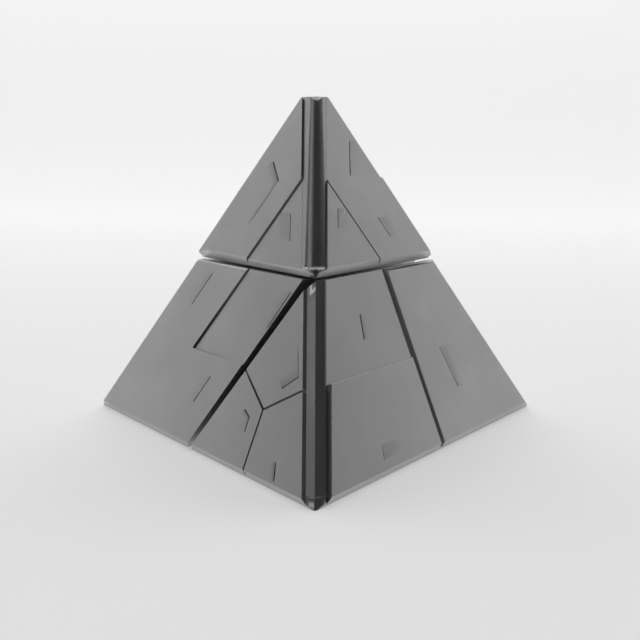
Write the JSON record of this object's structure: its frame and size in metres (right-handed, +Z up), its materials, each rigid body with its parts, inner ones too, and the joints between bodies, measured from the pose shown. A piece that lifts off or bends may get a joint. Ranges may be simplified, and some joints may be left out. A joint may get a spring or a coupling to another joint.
{
  "type": "pyramid twisty puzzle",
  "caption": "Palm-sized triangular pyramid puzzle in dark grey plastic with raised face panels, a twisting top and a twisting front wedge.",
  "frame": {"origin": "point of the base plane under the apex", "axes": "+Z up through the apex, -Y towards the near corner, +X to the right of the front view"},
  "size_m": [0.095, 0.0826, 0.0672],
  "materials": {
    "housings": "satin moulded ABS, dark grey",
    "panels": "fine-textured ABS, dark grey",
    "inner_plastic": "plain moulded acetal and ABS, near black",
    "steel": "zinc-plated",
    "spring_steel": "drawn wire",
    "magnets": "nickel-plated"
  },
  "bodies": {
    "left_block": {"left_shell": "housings", "left_base_cover": "inner_plastic", "left_cover_screws": "steel", "pivot_core": "inner_plastic", "pivot_core_screws": "steel", "deck_magnets": "magnets", "slant_magnets": "magnets", "left_upper_panel": "panels", "left_corner_panel": "panels", "left_back_upper_panel": "panels", "left_back_corner_panel": "panels", "top_pivot_screw": "steel", "top_pivot_spring": "spring_steel", "top_pivot_washer": "steel", "front_pivot_screw": "steel", "front_pivot_spring": "spring_steel", "front_pivot_washer": "steel"},
    "top": {"top_shell": "housings", "top_base": "inner_plastic", "top_base_screws": "steel", "top_magnets": "magnets", "top_left_far_panel": "panels", "top_left_near_panel": "panels", "top_right_tip_panel": "panels", "top_right_near_panel": "panels", "top_right_far_panel": "panels", "top_back_far_panel": "panels", "top_back_near_panel": "panels"},
    "front": {"near_shell": "housings", "right_shell": "housings", "front_base_cover": "inner_plastic", "front_cover_screws": "steel", "front_carrier": "inner_plastic", "front_carrier_screws": "steel", "carrier_magnets": "magnets", "near_upper_panel": "panels", "near_outer_panel": "panels", "near_inner_panel": "panels", "near_right_upper_panel": "panels", "near_right_lower_panel": "panels", "right_front_panel": "panels", "right_back_upper_panel": "panels", "right_back_outer_panel": "panels", "right_back_inner_panel": "panels"}
  },
  "joints": [
    {"name": "top_twist", "type": "hinge", "parent": "left_block", "child": "top", "pos_m": [0, 0, 0.03453], "axis": [0, 0, 1], "range_deg": [-120, 120]},
    {"name": "front_twist", "type": "hinge", "parent": "left_block", "child": "front", "pos_m": [0.0005, -0.00029, 0.01789], "axis": [0.6793, -0.3922, -0.6203], "range_deg": [-180, 180]}
  ]
}
